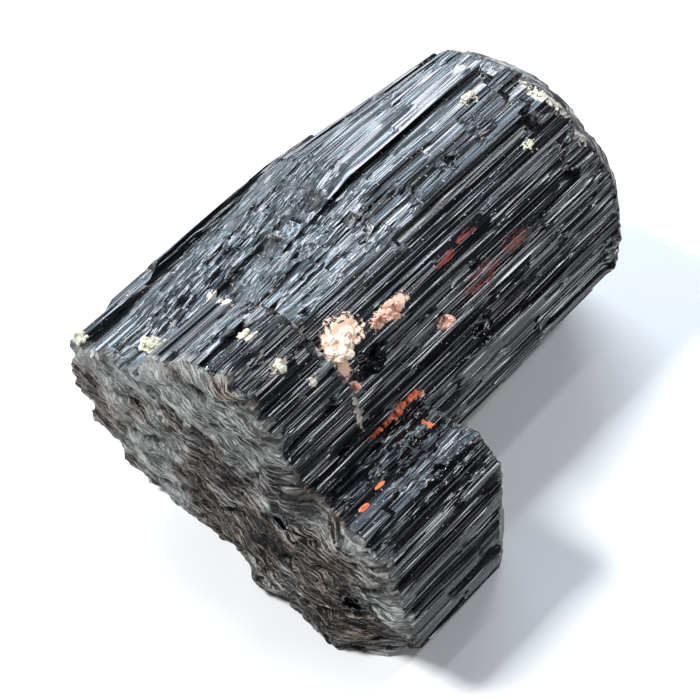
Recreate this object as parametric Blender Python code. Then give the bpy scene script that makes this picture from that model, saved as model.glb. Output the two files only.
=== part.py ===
"""A black tourmaline crystal group that lies on its side, with feldspar grains in its pockets.

Three striated crystals grew side by side along X and are one solid: the long main crystal, a short
front crystal on top of it, and a side crystal. The main crystal's upper left face falls towards
the base. Both ends are broken. Lengths are in millimetres until finish_node turns each mesh into
metres. The origin is the middle of the box's base.
"""

import math
import random
from typing import NamedTuple

import bmesh
import bpy
from mathutils import Matrix, Vector, noise

MM = 0.001

# The group along the crystals' long axis, and the plane that it lies on
BASE_X = -28.7
FAR_X = 29.9
RUN_OUT = 3.0
TABLE_Z = 0.0
TABLE_SIZE = 80.0

# Outlines across the long axis, as (y, z) corners from the right flank over the top and back below
MAIN_OUTLINE = [
    (-11.2, 10.7), (-9.8, 17.0), (-7.6, 22.5), (-4.3, 27.1), (1.2, 29.1), (7.2, 29.5),
    (13.2, 28.5), (17.8, 26.7), (21.4, 23.9), (24.0, 20.1), (24.0, 13.5), (21.7, 7.5),
    (16.2, 2.3), (9.9, -0.9), (1.0, -0.9), (-5.3, 1.3), (-8.8, 5.5),
]
FRONT_OUTLINE = [
    (-9.2, 17.5), (-8.6, 19.7), (-7.5, 23.0), (-6.0, 26.1), (-4.0, 28.6), (-1.4, 30.7),
    (0.7, 31.5), (3.7, 31.0), (7.0, 29.6), (11.8, 25.6), (12.6, 24.0), (11.0, 12.5), (-6.8, 12.5),
]
SIDE_OUTLINE = [
    (-24.0, 6.0), (-23.7, 10.0), (-22.4, 14.0), (-20.3, 17.3), (-17.3, 19.1), (-12.8, 18.8),
    (-8.3, 18.0), (-2.8, 10.0), (-4.8, 1.5), (-11.6, -0.9), (-18.5, -0.9), (-22.3, 2.0),
]
FRONT_END_X = -17.5
SIDE_END_X = -9.0

# Relief of the striated faces: laths that stand up to LATH_HEIGHT above a core
CORE_INSET = 0.45
LATH_HEIGHT = 0.8
LATH_CHANGES = 0.3
LATH_JITTER = 0.28
BAND_RELIEF = 0.12
WALL = 0.05
BREAK_WIDTH = 0.25
BREAK_JITTER = 1.5
MAIN_LATH_WIDTHS = (1.1, 2.6)
SMALL_LATH_WIDTHS = (1.0, 2.2)
MAIN_BREAKS = (-22.0, -15.0, -8.0, -2.0, 4.0, 10.5, 17.0, 23.5)
FRONT_BREAKS = (-25.0, -21.0)
SIDE_BREAKS = (-25.0, -20.5, -16.0, -12.5)

# The left flank draws in from this place on, per millimetre of run and of width
TAPER_FROM_X = 4.0
TAPER_FROM_Y = 9.0
TAPER = 0.0085

# The upper left face falls towards the base: where that starts and is full, and how far by y
FALL_START_X = 4.0
FALL_END_X = -22.0
FALL_LOW_Z = 15.0
FALL_HIGH_Z = 20.0
FALL = [(2.0, 0.0), (12.0, 5.8), (13.2, 5.65), (17.8, 4.75), (21.4, 2.85), (23.2, 0.0)]

# Broken faces
GRID = 1.85
ROUGHNESS = 0.5
NOISE_PER_MM = 0.32
LEDGE = 0.55
BASE_LEAN = 0.08
BASE_TOP_Z = 28.5
BASE_LEAN_WIDTH = 10.0
FAR_MIDDLE = (6.8, 14.8)
FAR_REACH = (17.8, 16.0)
FAR_TRIM = 0.3
FAR_DOME = 24.0
FAR_DOME_START = 0.79
FAR_DOME_POWER = 1.15
CLIFF_LEAN = 0.12
CLIFF_TOP_Z = 29.0
SIDE_LEAN = 0.08
SIDE_MIDDLE_Z = 16.5
SIDE_OUTER_Y = -20.3
SIDE_OUTER_FALL = 1.4

# Clearance round each grain in its pocket
GAP = 0.32
GRAIN_ROUGHNESS = 0.22


class Band(NamedTuple):
    """A strip of laths set to one height: distances round the outline, a run in x, and the height."""

    first: float
    last: float
    start_x: float
    end_x: float
    height: float


class Hump(NamedTuple):
    """A swelling of a broken face, or a hollow: its height, middle (y, z) and radius."""

    height: float
    middle: tuple
    radius: float


class Shape(NamedTuple):
    """A striated loft along X: its outline, run, breaks, lath widths, bands and seed."""

    name: str
    outline: list
    start_x: float
    end_x: float
    breaks: tuple
    widths: tuple
    bands: list
    seed: int


class Fracture(NamedTuple):
    """A broken face's cutter: how far in x it reaches, its (y, z) corners and its seed."""

    name: str
    reach_x: float
    low: tuple
    high: tuple
    seed: int


class Grain(NamedTuple):
    """A mineral grain: its node's name, centre, half sizes, turn about Z and finish."""

    name: str
    centre: tuple
    radii: tuple
    turn_degrees: float
    finish: str


MAIN_BANDS = [
    Band(13.9, 16.2, 2.0, 23.0, -0.3),
    Band(20.6, 23.3, -3.0, 26.0, -0.45),
    Band(23.3, 26.6, -13.0, 0.0, 0.1),
    Band(23.3, 26.6, 1.5, 26.5, 0.95),
    Band(26.6, 30.1, -0.5, 26.5, 0.85),
    Band(30.1, 32.0, 5.0, 25.0, 0.0),
    Band(32.0, 33.2, -6.0, 27.0, 0.55),
    Band(33.2, 35.8, -9.0, 27.0, 0.65),
    Band(41.0, 45.6, -30.0, 5.0, 0.0),
]
FRONT_BANDS = [Band(27.5, 31.0, -30.0, -15.0, 0.9)]
SIDE_BANDS = [Band(17.0, 26.0, -16.0, -5.0, 0.1)]

MAIN = Shape(
    "tourmaline", MAIN_OUTLINE, BASE_X - RUN_OUT, FAR_X + RUN_OUT, MAIN_BREAKS, MAIN_LATH_WIDTHS,
    MAIN_BANDS, 2,
)
FRONT = Shape(
    "front", FRONT_OUTLINE, BASE_X - RUN_OUT, FRONT_END_X + 4.0, FRONT_BREAKS, SMALL_LATH_WIDTHS,
    FRONT_BANDS, 5,
)
SIDE = Shape(
    "side", SIDE_OUTLINE, BASE_X - RUN_OUT, SIDE_END_X + 7.0, SIDE_BREAKS, SMALL_LATH_WIDTHS,
    SIDE_BANDS, 8,
)

CLIFF = Fracture("cliff", FRONT_END_X + 9.0, (-14.0, 8.0), (16.0, 35.0), 3)
SIDE_END = Fracture("side_end", SIDE_END_X + 12.0, (-28.0, -4.0), (2.0, 24.0), 6)
BASE = Fracture("base", BASE_X - 8.0, (-28.0, -4.0), (28.0, 35.0), 1)
FAR = Fracture("far", FAR_X + 8.0, (-16.0, -4.0), (28.0, 35.0), 4)

BASE_HUMPS = [
    Hump(2.6, (-10.2, 17.6), 2.6),
    Hump(3.4, (-22.5, 2.5), 4.2),
    Hump(-1.2, (-13.5, 1.0), 2.5),
    Hump(-2.0, (-4.0, 1.5), 4.0),
]

GRAINS = [
    Grain("feldspar_pocket_mass", (-14.7, -3.2, 27.6), (2.9, 2.3, 1.2), 30.0, "feldspar"),
    Grain("feldspar_peach_ridge", (-8.6, -3.9, 27.4), (2.6, 0.9, 0.8), 4.0, "feldspar"),
    Grain("feldspar_cliff_foot", (-16.1, -6.5, 24.6), (0.7, 0.6, 0.6), 0.0, "feldspar"),
    Grain("feldspar_right_slope", (-2.2, -7.2, 22.9), (1.1, 0.8, 0.8), 20.0, "feldspar"),
    Grain("feldspar_far_top", (20.2, 7.1, 29.9), (1.2, 0.75, 0.7), 0.0, "feldspar"),
    Grain("feldspar_far_groove", (19.9, -1.0, 27.8), (1.3, 0.7, 0.7), 0.0, "feldspar"),
    Grain("feldspar_near_left", (-24.2, 14.3, 22.8), (1.3, 1.8, 0.9), 20.0, "feldspar"),
    Grain("feldspar_left_corner", (-26.9, 22.3, 20.6), (0.8, 1.3, 0.8), 20.0, "feldspar"),
    Grain("feldspar_front_shoulder", (-21.7, 3.6, 30.7), (1.3, 0.5, 0.5), 0.0, "feldspar"),
    Grain("feldspar_front_ridge", (-22.7, -1.6, 30.2), (1.2, 0.8, 0.7), 0.0, "feldspar"),
    Grain("iron_crust_crack", (-12.9, -9.1, 18.6), (4.3, 0.7, 0.8), 0.0, "iron_crust"),
    Grain("iron_crust_side_spot", (-24.2, -14.3, 18.8), (0.9, 0.6, 0.5), 0.0, "iron_crust"),
    Grain("quartz_base_grain", (-27.3, -3.3, 9.3), (0.5, 0.9, 0.6), 0.0, "quartz"),
]

PITS = [
    Grain("hollow", (-12.9, -6.5, 25.3), (2.6, 1.8, 1.7), 0.0, ""),
    Grain("slope_hole", (2.2, -8.9, 19.3), (1.5, 0.9, 1.3), 0.0, ""),
    Grain("plateau_pit", (11.4, 3.1, 30.3), (1.4, 0.75, 0.85), 0.0, ""),
    Grain("side_pit", (-15.8, -17.1, 19.1), (1.2, 0.8, 0.7), 0.0, ""),
    Grain("base_hollow", (-27.6, -6.5, 13.5), (0.8, 1.6, 1.1), 0.0, ""),
    Grain("base_hollow_low", (-28.4, -16.5, 8.5), (0.7, 1.5, 1.1), 0.0, ""),
]

FINISHES = {
    "tourmaline": ((0.012, 0.014, 0.017, 1.0), 0.3),
    "feldspar": ((0.78, 0.62, 0.52, 1.0), 0.6),
    "iron_crust": ((0.6, 0.2, 0.07, 1.0), 0.7),
    "quartz": ((0.6, 0.6, 0.58, 1.0), 0.35),
}


def inset_outline(outline, amount):
    """Move every side of a closed outline inward by the same amount."""
    moved = []
    for i, corner in enumerate(outline):
        here = Vector(corner)
        back = (here - Vector(outline[i - 1])).normalized()
        ahead = (Vector(outline[(i + 1) % len(outline)]) - here).normalized()
        inward = Vector((back.y + ahead.y, -back.x - ahead.x)).normalized()
        share = inward.dot(Vector((ahead.y, -ahead.x)))
        moved.append(here + inward * amount / share)
    return moved


def split_into_laths(outline, widths, rng):
    """Split an outline's sides into laths, each (start, end, outward normal, distance of its middle)."""
    laths = []
    walked = 0.0
    for i, corner in enumerate(outline):
        start = Vector(corner)
        side = Vector(outline[(i + 1) % len(outline)]) - start
        outward = Vector((-side.y, side.x)).normalized()
        count = max(1, round(side.length / rng.uniform(*widths)))
        inner = [(k + rng.uniform(-LATH_JITTER, LATH_JITTER)) / count for k in range(1, count)]
        stops = [0.0, *inner, 1.0]
        for first, last in zip(stops, stops[1:]):
            middle = walked + side.length * (first + last) / 2
            laths.append((start + side * first, start + side * last, outward, middle))
        walked += side.length
    return laths


def lath_heights(middle, stretches, bands, rng):
    """One lath's height on each stretch between breaks: a random walk, and any band on top of it."""
    heights = []
    height = rng.uniform(0.0, LATH_HEIGHT)
    for start_x, end_x in stretches:
        if rng.random() < LATH_CHANGES:
            height = rng.uniform(0.0, LATH_HEIGHT)
        shown = height
        for band in bands:
            on_run = band.start_x <= (start_x + end_x) / 2 <= band.end_x
            if on_run and band.first <= middle <= band.last:
                shown = band.height + BAND_RELIEF * height
        heights.append(shown)
    return heights


def crystal(shape):
    """Loft a striated crystal along X: laths side by side whose heights change at jittered breaks."""
    rng = random.Random(shape.seed)
    core = inset_outline(shape.outline, CORE_INSET)
    stops = [shape.start_x, *shape.breaks, shape.end_x]
    stretches = list(zip(stops, stops[1:]))
    columns = []
    for first, last, outward, middle in split_into_laths(core, shape.widths, rng):
        heights = lath_heights(middle, stretches, shape.bands, rng)
        shifts = [rng.uniform(-BREAK_JITTER, BREAK_JITTER) for _ in shape.breaks]
        stations = [(shape.start_x, heights[0])]
        for k, break_x in enumerate(shape.breaks):
            stations.append((break_x + shifts[k] - BREAK_WIDTH / 2, heights[k]))
            stations.append((break_x + shifts[k] + BREAK_WIDTH / 2, heights[k + 1]))
        stations.append((shape.end_x, heights[-1]))
        wall = (last - first).normalized() * WALL
        for point in (first + wall, last - wall):
            places = [point + outward * height for _, height in stations]
            columns.append([(x, p.x, p.y) for (x, _), p in zip(stations, places)])
    mesh = bmesh.new()
    grid = [[mesh.verts.new(co) for co in column] for column in columns]
    for i, column in enumerate(grid):
        after = grid[(i + 1) % len(grid)]
        for k in range(len(column) - 1):
            mesh.faces.new((column[k], column[k + 1], after[k + 1], after[k]))
    mesh.faces.new([column[0] for column in grid])
    mesh.faces.new([column[-1] for column in reversed(grid)])
    return as_object(mesh, shape.name)


def fall(x, y, z):
    """How far the main crystal's upper left face has fallen at one place."""
    share = min(1.0, max(0.0, (FALL_START_X - x) / (FALL_START_X - FALL_END_X)))
    share *= min(1.0, max(0.0, (z - FALL_LOW_Z) / (FALL_HIGH_Z - FALL_LOW_Z)))
    for (start, low), (end, high) in zip(FALL, FALL[1:]):
        if start <= y < end:
            return share * (low + (high - low) * (y - start) / (end - start))
    return 0.0


def shape_left_flank(obj):
    """Draw the main crystal's left flank in towards the far end, and let its upper face fall."""
    for vert in obj.data.vertices:
        along = max(0.0, vert.co.x - TAPER_FROM_X)
        outward = max(0.0, vert.co.y - TAPER_FROM_Y)
        vert.co.y -= TAPER * along * outward
        vert.co.z -= fall(*vert.co)


def as_object(mesh, name):
    """Link a bmesh to the scene as an object whose faces all point out."""
    bmesh.ops.recalc_face_normals(mesh, faces=mesh.faces)
    data = bpy.data.meshes.new(name)
    mesh.to_mesh(data)
    mesh.free()
    obj = bpy.data.objects.new(name, data)
    bpy.context.scene.collection.objects.link(obj)
    return obj


def rough(y, z, seed):
    """Height of a hackly fracture at one place: noise, sharpened into ledges here and there."""
    spot = Vector((y * NOISE_PER_MM, z * NOISE_PER_MM, seed))
    swell = noise.fractal(spot, 0.9, 2.1, 4)
    stepped = round(swell / LEDGE) * LEDGE
    share = min(1.0, max(0.0, 0.5 + noise.noise(spot * 0.6 + Vector((5.0, 0.0, 0.0))) * 1.5))
    return swell * (1 - share) + stepped * share


def fracture_cutter(fracture, place_x):
    """A block whose near face is the broken surface x = place_x(y, z), for cutting one end away."""
    mesh = bmesh.new()
    wide = fracture.high[0] - fracture.low[0]
    tall = fracture.high[1] - fracture.low[1]
    bmesh.ops.create_grid(
        mesh, x_segments=round(wide / GRID), y_segments=round(tall / GRID), size=0.5
    )
    for vert in mesh.verts:
        y = fracture.low[0] + (vert.co.x + 0.5) * wide
        z = fracture.low[1] + (vert.co.y + 0.5) * tall
        vert.co = (place_x(y, z) + ROUGHNESS * rough(y, z, fracture.seed), y, z)
    sheet = list(mesh.faces)
    grown = bmesh.ops.extrude_face_region(mesh, geom=sheet)["geom"]
    for vert in (item for item in grown if isinstance(item, bmesh.types.BMVert)):
        vert.co.x = fracture.reach_x
    return as_object(mesh, fracture.name)


def swelling(y, z, hump):
    """A hump's height at one place."""
    away = (y - hump.middle[0]) ** 2 + (z - hump.middle[1]) ** 2
    return hump.height * math.exp(-away / hump.radius**2)


def base_break_x(y, z):
    """The broken base that faces -X. It leans back below, and dips in the groove between crystals."""
    on_main = min(1.0, max(0.0, (y + BASE_LEAN_WIDTH) / BASE_LEAN_WIDTH))
    lean = BASE_LEAN * (BASE_TOP_Z - z) * on_main
    return BASE_X + lean + sum(swelling(y, z, hump) for hump in BASE_HUMPS)


def far_break_x(y, z):
    """The broken far end, domed so that its rim falls back to the striated faces."""
    reach = math.hypot((y - FAR_MIDDLE[0]) / FAR_REACH[0], (z - FAR_MIDDLE[1]) / FAR_REACH[1])
    return FAR_X - FAR_TRIM - FAR_DOME * max(0.0, reach - FAR_DOME_START) ** FAR_DOME_POWER


def front_break_x(y, z):
    """The cliff at the front crystal's end, which leans a little towards the far end below."""
    return FRONT_END_X + CLIFF_LEAN * (CLIFF_TOP_Z - z)


def side_break_x(y, z):
    """The side crystal's broken end, which slopes out below and falls back on its outer side."""
    return SIDE_END_X + SIDE_LEAN * (SIDE_MIDDLE_Z - z) - SIDE_OUTER_FALL * max(0.0, SIDE_OUTER_Y - y)


def boolean(obj, cutter, operation, solver="EXACT"):
    """Join or cut an object at once, and remove the other object."""
    modifier = obj.modifiers.new(operation, "BOOLEAN")
    modifier.operation = operation
    modifier.object = cutter
    modifier.solver = solver
    graph = bpy.context.evaluated_depsgraph_get()
    joined = bpy.data.meshes.new_from_object(obj.evaluated_get(graph))
    obj.modifiers.clear()
    obj.data = joined
    bpy.data.objects.remove(cutter)


def make_group():
    """The three crystals with their broken faces, joined in one solid and cut flat where it rests."""
    front = crystal(FRONT)
    boolean(front, fracture_cutter(CLIFF, front_break_x), "DIFFERENCE")
    side = crystal(SIDE)
    boolean(side, fracture_cutter(SIDE_END, side_break_x), "DIFFERENCE")
    group = crystal(MAIN)
    shape_left_flank(group)
    boolean(group, front, "UNION")
    boolean(group, side, "UNION")
    boolean(group, fracture_cutter(BASE, base_break_x), "DIFFERENCE")
    boolean(group, fracture_cutter(FAR, far_break_x), "DIFFERENCE")
    bpy.ops.mesh.primitive_cube_add(size=TABLE_SIZE, location=(0.0, 0.0, TABLE_Z - TABLE_SIZE / 2))
    boolean(group, bpy.context.object, "DIFFERENCE", "MANIFOLD")
    return group


def make_grain(grain, growth=0.0):
    """A lumpy grain, or with growth the pocket that holds it."""
    mesh = bmesh.new()
    bmesh.ops.create_icosphere(mesh, subdivisions=2, radius=1.0)
    turn = Matrix.Rotation(math.radians(grain.turn_degrees), 3, "Z")
    for vert in mesh.verts:
        lump = 1.0 + GRAIN_ROUGHNESS * noise.noise(vert.co * 1.9 + Vector(grain.centre))
        sized = [axis * (radius * lump + growth) for axis, radius in zip(vert.co, grain.radii)]
        vert.co = turn @ Vector(sized) + Vector(grain.centre)
    return as_object(mesh, grain.name)


def make_finish(name):
    """A plain material with one finish's colour and roughness."""
    colour, roughness = FINISHES[name]
    material = bpy.data.materials.new(name)
    material.use_nodes = True
    shader = material.node_tree.nodes["Principled BSDF"]
    shader.inputs["Base Color"].default_value = colour
    shader.inputs["Roughness"].default_value = roughness
    return material


def finish_node(obj, collection, material):
    """Scale a node's mesh from millimetres to metres, give it its material and file it."""
    obj.data.transform(Matrix.Scale(MM, 4))
    obj.data.materials.clear()
    obj.data.materials.append(material)
    for other in list(obj.users_collection):
        other.objects.unlink(obj)
    collection.objects.link(obj)


def main():
    for obj in list(bpy.data.objects):
        bpy.data.objects.remove(obj)
    collection = bpy.data.collections.new("tourmaline crystal")
    bpy.context.scene.collection.children.link(collection)
    finishes = {name: make_finish(name) for name in FINISHES}
    group = make_group()
    for pit in PITS:
        boolean(group, make_grain(pit), "DIFFERENCE")
    for grain in GRAINS:
        boolean(group, make_grain(grain, GAP), "DIFFERENCE")
    finish_node(group, collection, finishes["tourmaline"])
    for grain in GRAINS:
        finish_node(make_grain(grain), collection, finishes[grain.finish])


main()
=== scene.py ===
"""Looks of a black tourmaline crystal group with feldspar in its pockets.

The crystals are modelled in millimetres and then scaled to the frame's metres. Their coarse laths
follow the same outlines, seeds and draws as the model that this script dresses.
"""

from __future__ import annotations

import logging
import math
import random
from collections.abc import Callable
from dataclasses import dataclass, field
from enum import Enum

import bpy
from mathutils import Matrix, Vector, noise


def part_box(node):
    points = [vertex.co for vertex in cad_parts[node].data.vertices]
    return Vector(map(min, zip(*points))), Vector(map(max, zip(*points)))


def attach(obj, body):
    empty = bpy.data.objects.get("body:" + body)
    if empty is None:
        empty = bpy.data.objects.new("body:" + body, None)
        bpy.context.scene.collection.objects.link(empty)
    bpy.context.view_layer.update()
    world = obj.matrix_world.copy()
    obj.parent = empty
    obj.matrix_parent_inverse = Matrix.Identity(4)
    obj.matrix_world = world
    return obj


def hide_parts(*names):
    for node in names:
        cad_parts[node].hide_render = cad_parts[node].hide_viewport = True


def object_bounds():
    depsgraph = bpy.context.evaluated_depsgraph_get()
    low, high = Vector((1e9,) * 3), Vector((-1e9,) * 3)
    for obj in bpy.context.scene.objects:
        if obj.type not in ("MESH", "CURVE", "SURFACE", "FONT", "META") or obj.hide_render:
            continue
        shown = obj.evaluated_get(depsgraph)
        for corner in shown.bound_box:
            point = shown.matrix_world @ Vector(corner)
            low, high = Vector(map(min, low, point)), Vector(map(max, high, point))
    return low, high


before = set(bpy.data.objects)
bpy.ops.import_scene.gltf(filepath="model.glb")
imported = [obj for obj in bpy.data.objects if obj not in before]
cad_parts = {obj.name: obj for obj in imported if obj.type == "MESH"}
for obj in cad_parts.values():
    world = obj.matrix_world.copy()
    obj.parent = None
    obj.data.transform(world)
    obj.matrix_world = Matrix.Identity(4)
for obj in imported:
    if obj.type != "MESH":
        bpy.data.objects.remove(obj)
CAD_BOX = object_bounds()

LOG = logging.getLogger("tourmaline")
Socket = bpy.types.NodeSocket
MM = 0.001

# Relief shared with the model: laths that stand up to LATH_HEIGHT above a core
CORE_INSET = 0.45
LATH_HEIGHT = 0.8
LATH_CHANGES = 0.3
WALL = 0.05
BREAK_WIDTH = 0.25
BREAK_JITTER = 1.5
RUN_OUT = 3.0

# Fine striae on the laths: width, depth, tilt, and how often one changes along its run
STRIA_WIDTH = 0.42
PLAIN_WIDTH = 1.0
STRIA_HEIGHT = 0.2
STRIA_TILT = 0.11
STRIA_RUN = 1.6
STRIA_CHANGES = 0.035
STRIA_STEP = 0.07
END_JITTER = 0.8
SMOOTH_ON_TOP = 0.45
SMOOTH_ON_SLOPE = 0.1
CALM = 0.3
CHIP = 0.16
WEATHERED = 1.4
WAVE = 0.1
BAND_RELIEF = 0.12

# The left flank draws in from this place on, per millimetre of run and of width
TAPER_FROM_X = 4.0
TAPER_FROM_Y = 9.0
TAPER = 0.0085

# The upper left face falls towards the base: where that starts and is full, and how far by y
FALL_START_X = 4.0
FALL_END_X = -22.0
FALL_LOW_Z = 15.0
FALL_HIGH_Z = 20.0
FALL = [(2.0, 0.0), (12.0, 5.8), (13.2, 5.65), (17.8, 4.75), (21.4, 2.85), (23.2, 0.0)]

# Broken faces, as the model has them, and their finer grain
BASE_X = -28.7
FAR_X = 29.9
FRONT_END_X = -17.5
SIDE_END_X = -9.0
ROUGHNESS = 0.5
NOISE_PER_MM = 0.32
LEDGE = 0.55
FIBRE_RELIEF = 0.13
LUMP_RELIEF = 0.34
FIBRE_CENTRE = Vector((-13.6, 71.0))
PIT_DEPTH = 3.2
PIT_START = 0.27
SMALL_BREAK = 0.12

# How near a surface lies on a break, where the front crystal's cliff is, and a pit's wall
ON_BREAK = 0.1
ON_CLIFF = 0.12
CLIFF_SIDES = (-9.5, 6.6)
CLIFF_FOOT_Z = 18.0
PIT_WALL = 1.35

# The smooth mirror-like laths on the left of the top: their y and x, and how low they reach
MIRROR_FLATS = (9.4, 13.3, -9.0, 27.0)
MIRROR_FLATS_Z = 24.0

# The broken base's upper edge as y and z, how far in its chips and its painted highlight band reach, and
# their depth
RIM = [
    (12.0, 25.4), (7.0, 29.6), (3.7, 31.0), (0.7, 31.5), (-1.4, 30.7), (-4.0, 28.6), (-6.0, 26.1),
    (-7.5, 23.0), (-9.2, 17.5), (-12.8, 18.8), (-17.3, 19.1), (-20.3, 17.3), (-22.4, 14.0), (-23.7, 10.0),
]
RIM_WIDTH = 1.7
RIM_GLOW = 4.2
RIM_DEPTH = 1.1
RIM_END_X = BASE_X + 6.0

# Grains: a lump's size against its grain, a crust's lump in millimetres, and the remesh's fineness
LUMP_SIZES = (0.3, 0.75)
CRUST_LUMP = (0.9, 0.65, 0.65)
VOXELS = 22
SMOOTH_ANGLE = math.radians(28.0)

# The photograph's view: where it looks, from how far, its heading from +X towards +Y and its lens
TARGET = Vector((-3.0, 5.2, 9.5))
CAMERA_DISTANCE = 280.0
HEADING = math.radians(39.5)
ELEVATION = math.radians(50.2)
LENS = 128.57


class Slot(Enum):
    """The record's material slots."""

    TOURMALINE = "tourmaline"
    WHITE = "feldspar"
    PEACH = "feldspar_peach"
    CREAM = "feldspar_cream"
    IRON = "iron_crust"
    QUARTZ = "quartz"


@dataclass(frozen=True)
class Band:
    """A strip of laths set to one height: distances round the outline, a run in x, and the height."""

    first: float
    last: float
    start_x: float
    end_x: float
    height: float


@dataclass(frozen=True)
class Spot:
    """A soft ellipsoid on the surface, in millimetres, for a stain or a patch of dust."""

    centre: tuple[float, float, float]
    radii: tuple[float, float, float]


class Graph:
    """A material's node tree, with short calls for the nodes that the finishes share."""

    def __init__(self, name: str) -> None:
        """Start a material with a Principled BSDF and coordinates in millimetres.

        Args:
            name: The material's name.
        """
        self.material = bpy.data.materials.new(name)
        self.material.use_nodes = True
        self.tree = self.material.node_tree
        self.shader = self.tree.nodes["Principled BSDF"]
        coordinates = self.node("TexCoord")
        self.mm = self.stretched((1000.0, 1000.0, 1000.0), coordinates.outputs["Object"])

    def node(self, kind: str, inputs: dict | None = None, **settings: object) -> bpy.types.Node:
        """Add a node.

        Args:
            kind: Its type, without the ShaderNode prefix.
            inputs: Values or sockets by input name or number.
            settings: Properties of the node.

        Returns:
            The node.
        """
        made = self.tree.nodes.new("ShaderNode" + kind)
        for key, value in settings.items():
            setattr(made, key, value)
        for key, value in (inputs or {}).items():
            self.feed(made.inputs[key], value)
        return made

    def feed(self, socket: Socket, value: Socket | float | tuple) -> None:
        """Link a socket to an input, or set the input's value.

        Args:
            socket: The input.
            value: What goes into it.
        """
        if isinstance(value, Socket):
            self.tree.links.new(value, socket)
        else:
            socket.default_value = value

    def stretched(self, scale: tuple, vector: Socket | None = None) -> Socket:
        """Multiply coordinates axis by axis.

        Args:
            scale: The factors.
            vector: The coordinates, or None for the piece's own in millimetres.

        Returns:
            The product.
        """
        source = self.mm if vector is None else vector
        made = self.node("VectorMath", {0: source, 1: scale}, operation="MULTIPLY")
        return made.outputs[0]

    def noise(self, vector: Socket, detail: float = 3.0, roughness: float = 0.55) -> Socket:
        """A noise value for coordinates that already carry their scale."""
        inputs = {"Vector": vector, "Scale": 1.0, "Detail": detail, "Roughness": roughness}
        return self.node("TexNoise", inputs).outputs["Fac"]

    def math(self, operation: str, first: Socket | float, second: Socket | float = 0.0) -> Socket:
        """A clamped sum, product or the like of two values."""
        made = self.node("Math", {0: first, 1: second}, operation=operation, use_clamp=True)
        return made.outputs[0]

    def ramp(
        self, value: Socket, low: float, high: float, out_low: float = 0.0, out_high: float = 1.0
    ) -> Socket:
        """A smooth step from one output to another between two values."""
        inputs = {"Value": value, 1: low, 2: high, 3: out_low, 4: out_high}
        return self.node("MapRange", inputs, interpolation_type="SMOOTHSTEP").outputs[0]

    def mix(self, factor: Socket, first: Socket | tuple, second: Socket | tuple) -> Socket:
        """A colour between two colours."""
        return self.node("Mix", {0: factor, 6: first, 7: second}, data_type="RGBA").outputs[2]

    def spots(self, spots: tuple, ragged: Socket, weight: float = 0.62, soft: float = 0.05) -> Socket:
        """A mask of soft spots whose edges a noise frays.

        Args:
            spots: Where the spots are.
            ragged: The noise, about 0.5 on average.
            weight: How full a spot is at its middle.
            soft: How soft its edges are.

        Returns:
            The mask, from 0 to 1.
        """
        total = None
        for spot in spots:
            away = self.node("VectorMath", {0: self.mm, 1: spot.centre}, operation="SUBTRACT").outputs[0]
            scaled = self.stretched(tuple(1.0 / radius for radius in spot.radii), away)
            reach = self.node("VectorMath", {0: scaled}, operation="LENGTH").outputs["Value"]
            near = self.ramp(reach, 0.15, 1.25, 1.0, 0.0)
            total = near if total is None else self.math("MAXIMUM", total, near)
        weighted = self.node("Math", {0: total, 1: weight}, operation="MULTIPLY").outputs[0]
        frayed = self.node("Math", {0: weighted, 1: ragged}, operation="ADD").outputs[0]
        return self.ramp(frayed, 1.0, 1.0 + soft)

    def bump(self, height: Socket, distance_mm: float, normal: Socket | None = None) -> Socket:
        """Bump a normal.

        Args:
            height: The relief, from 0 to 1.
            distance_mm: Its depth in millimetres.
            normal: The normal it starts from, or None for the surface's own.

        Returns:
            The bumped normal.
        """
        inputs = {"Height": height, "Distance": distance_mm * MM, "Strength": 1.0}
        made = self.node("Bump", inputs)
        if normal is not None:
            self.feed(made.inputs["Normal"], normal)
        return made.outputs[0]


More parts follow.
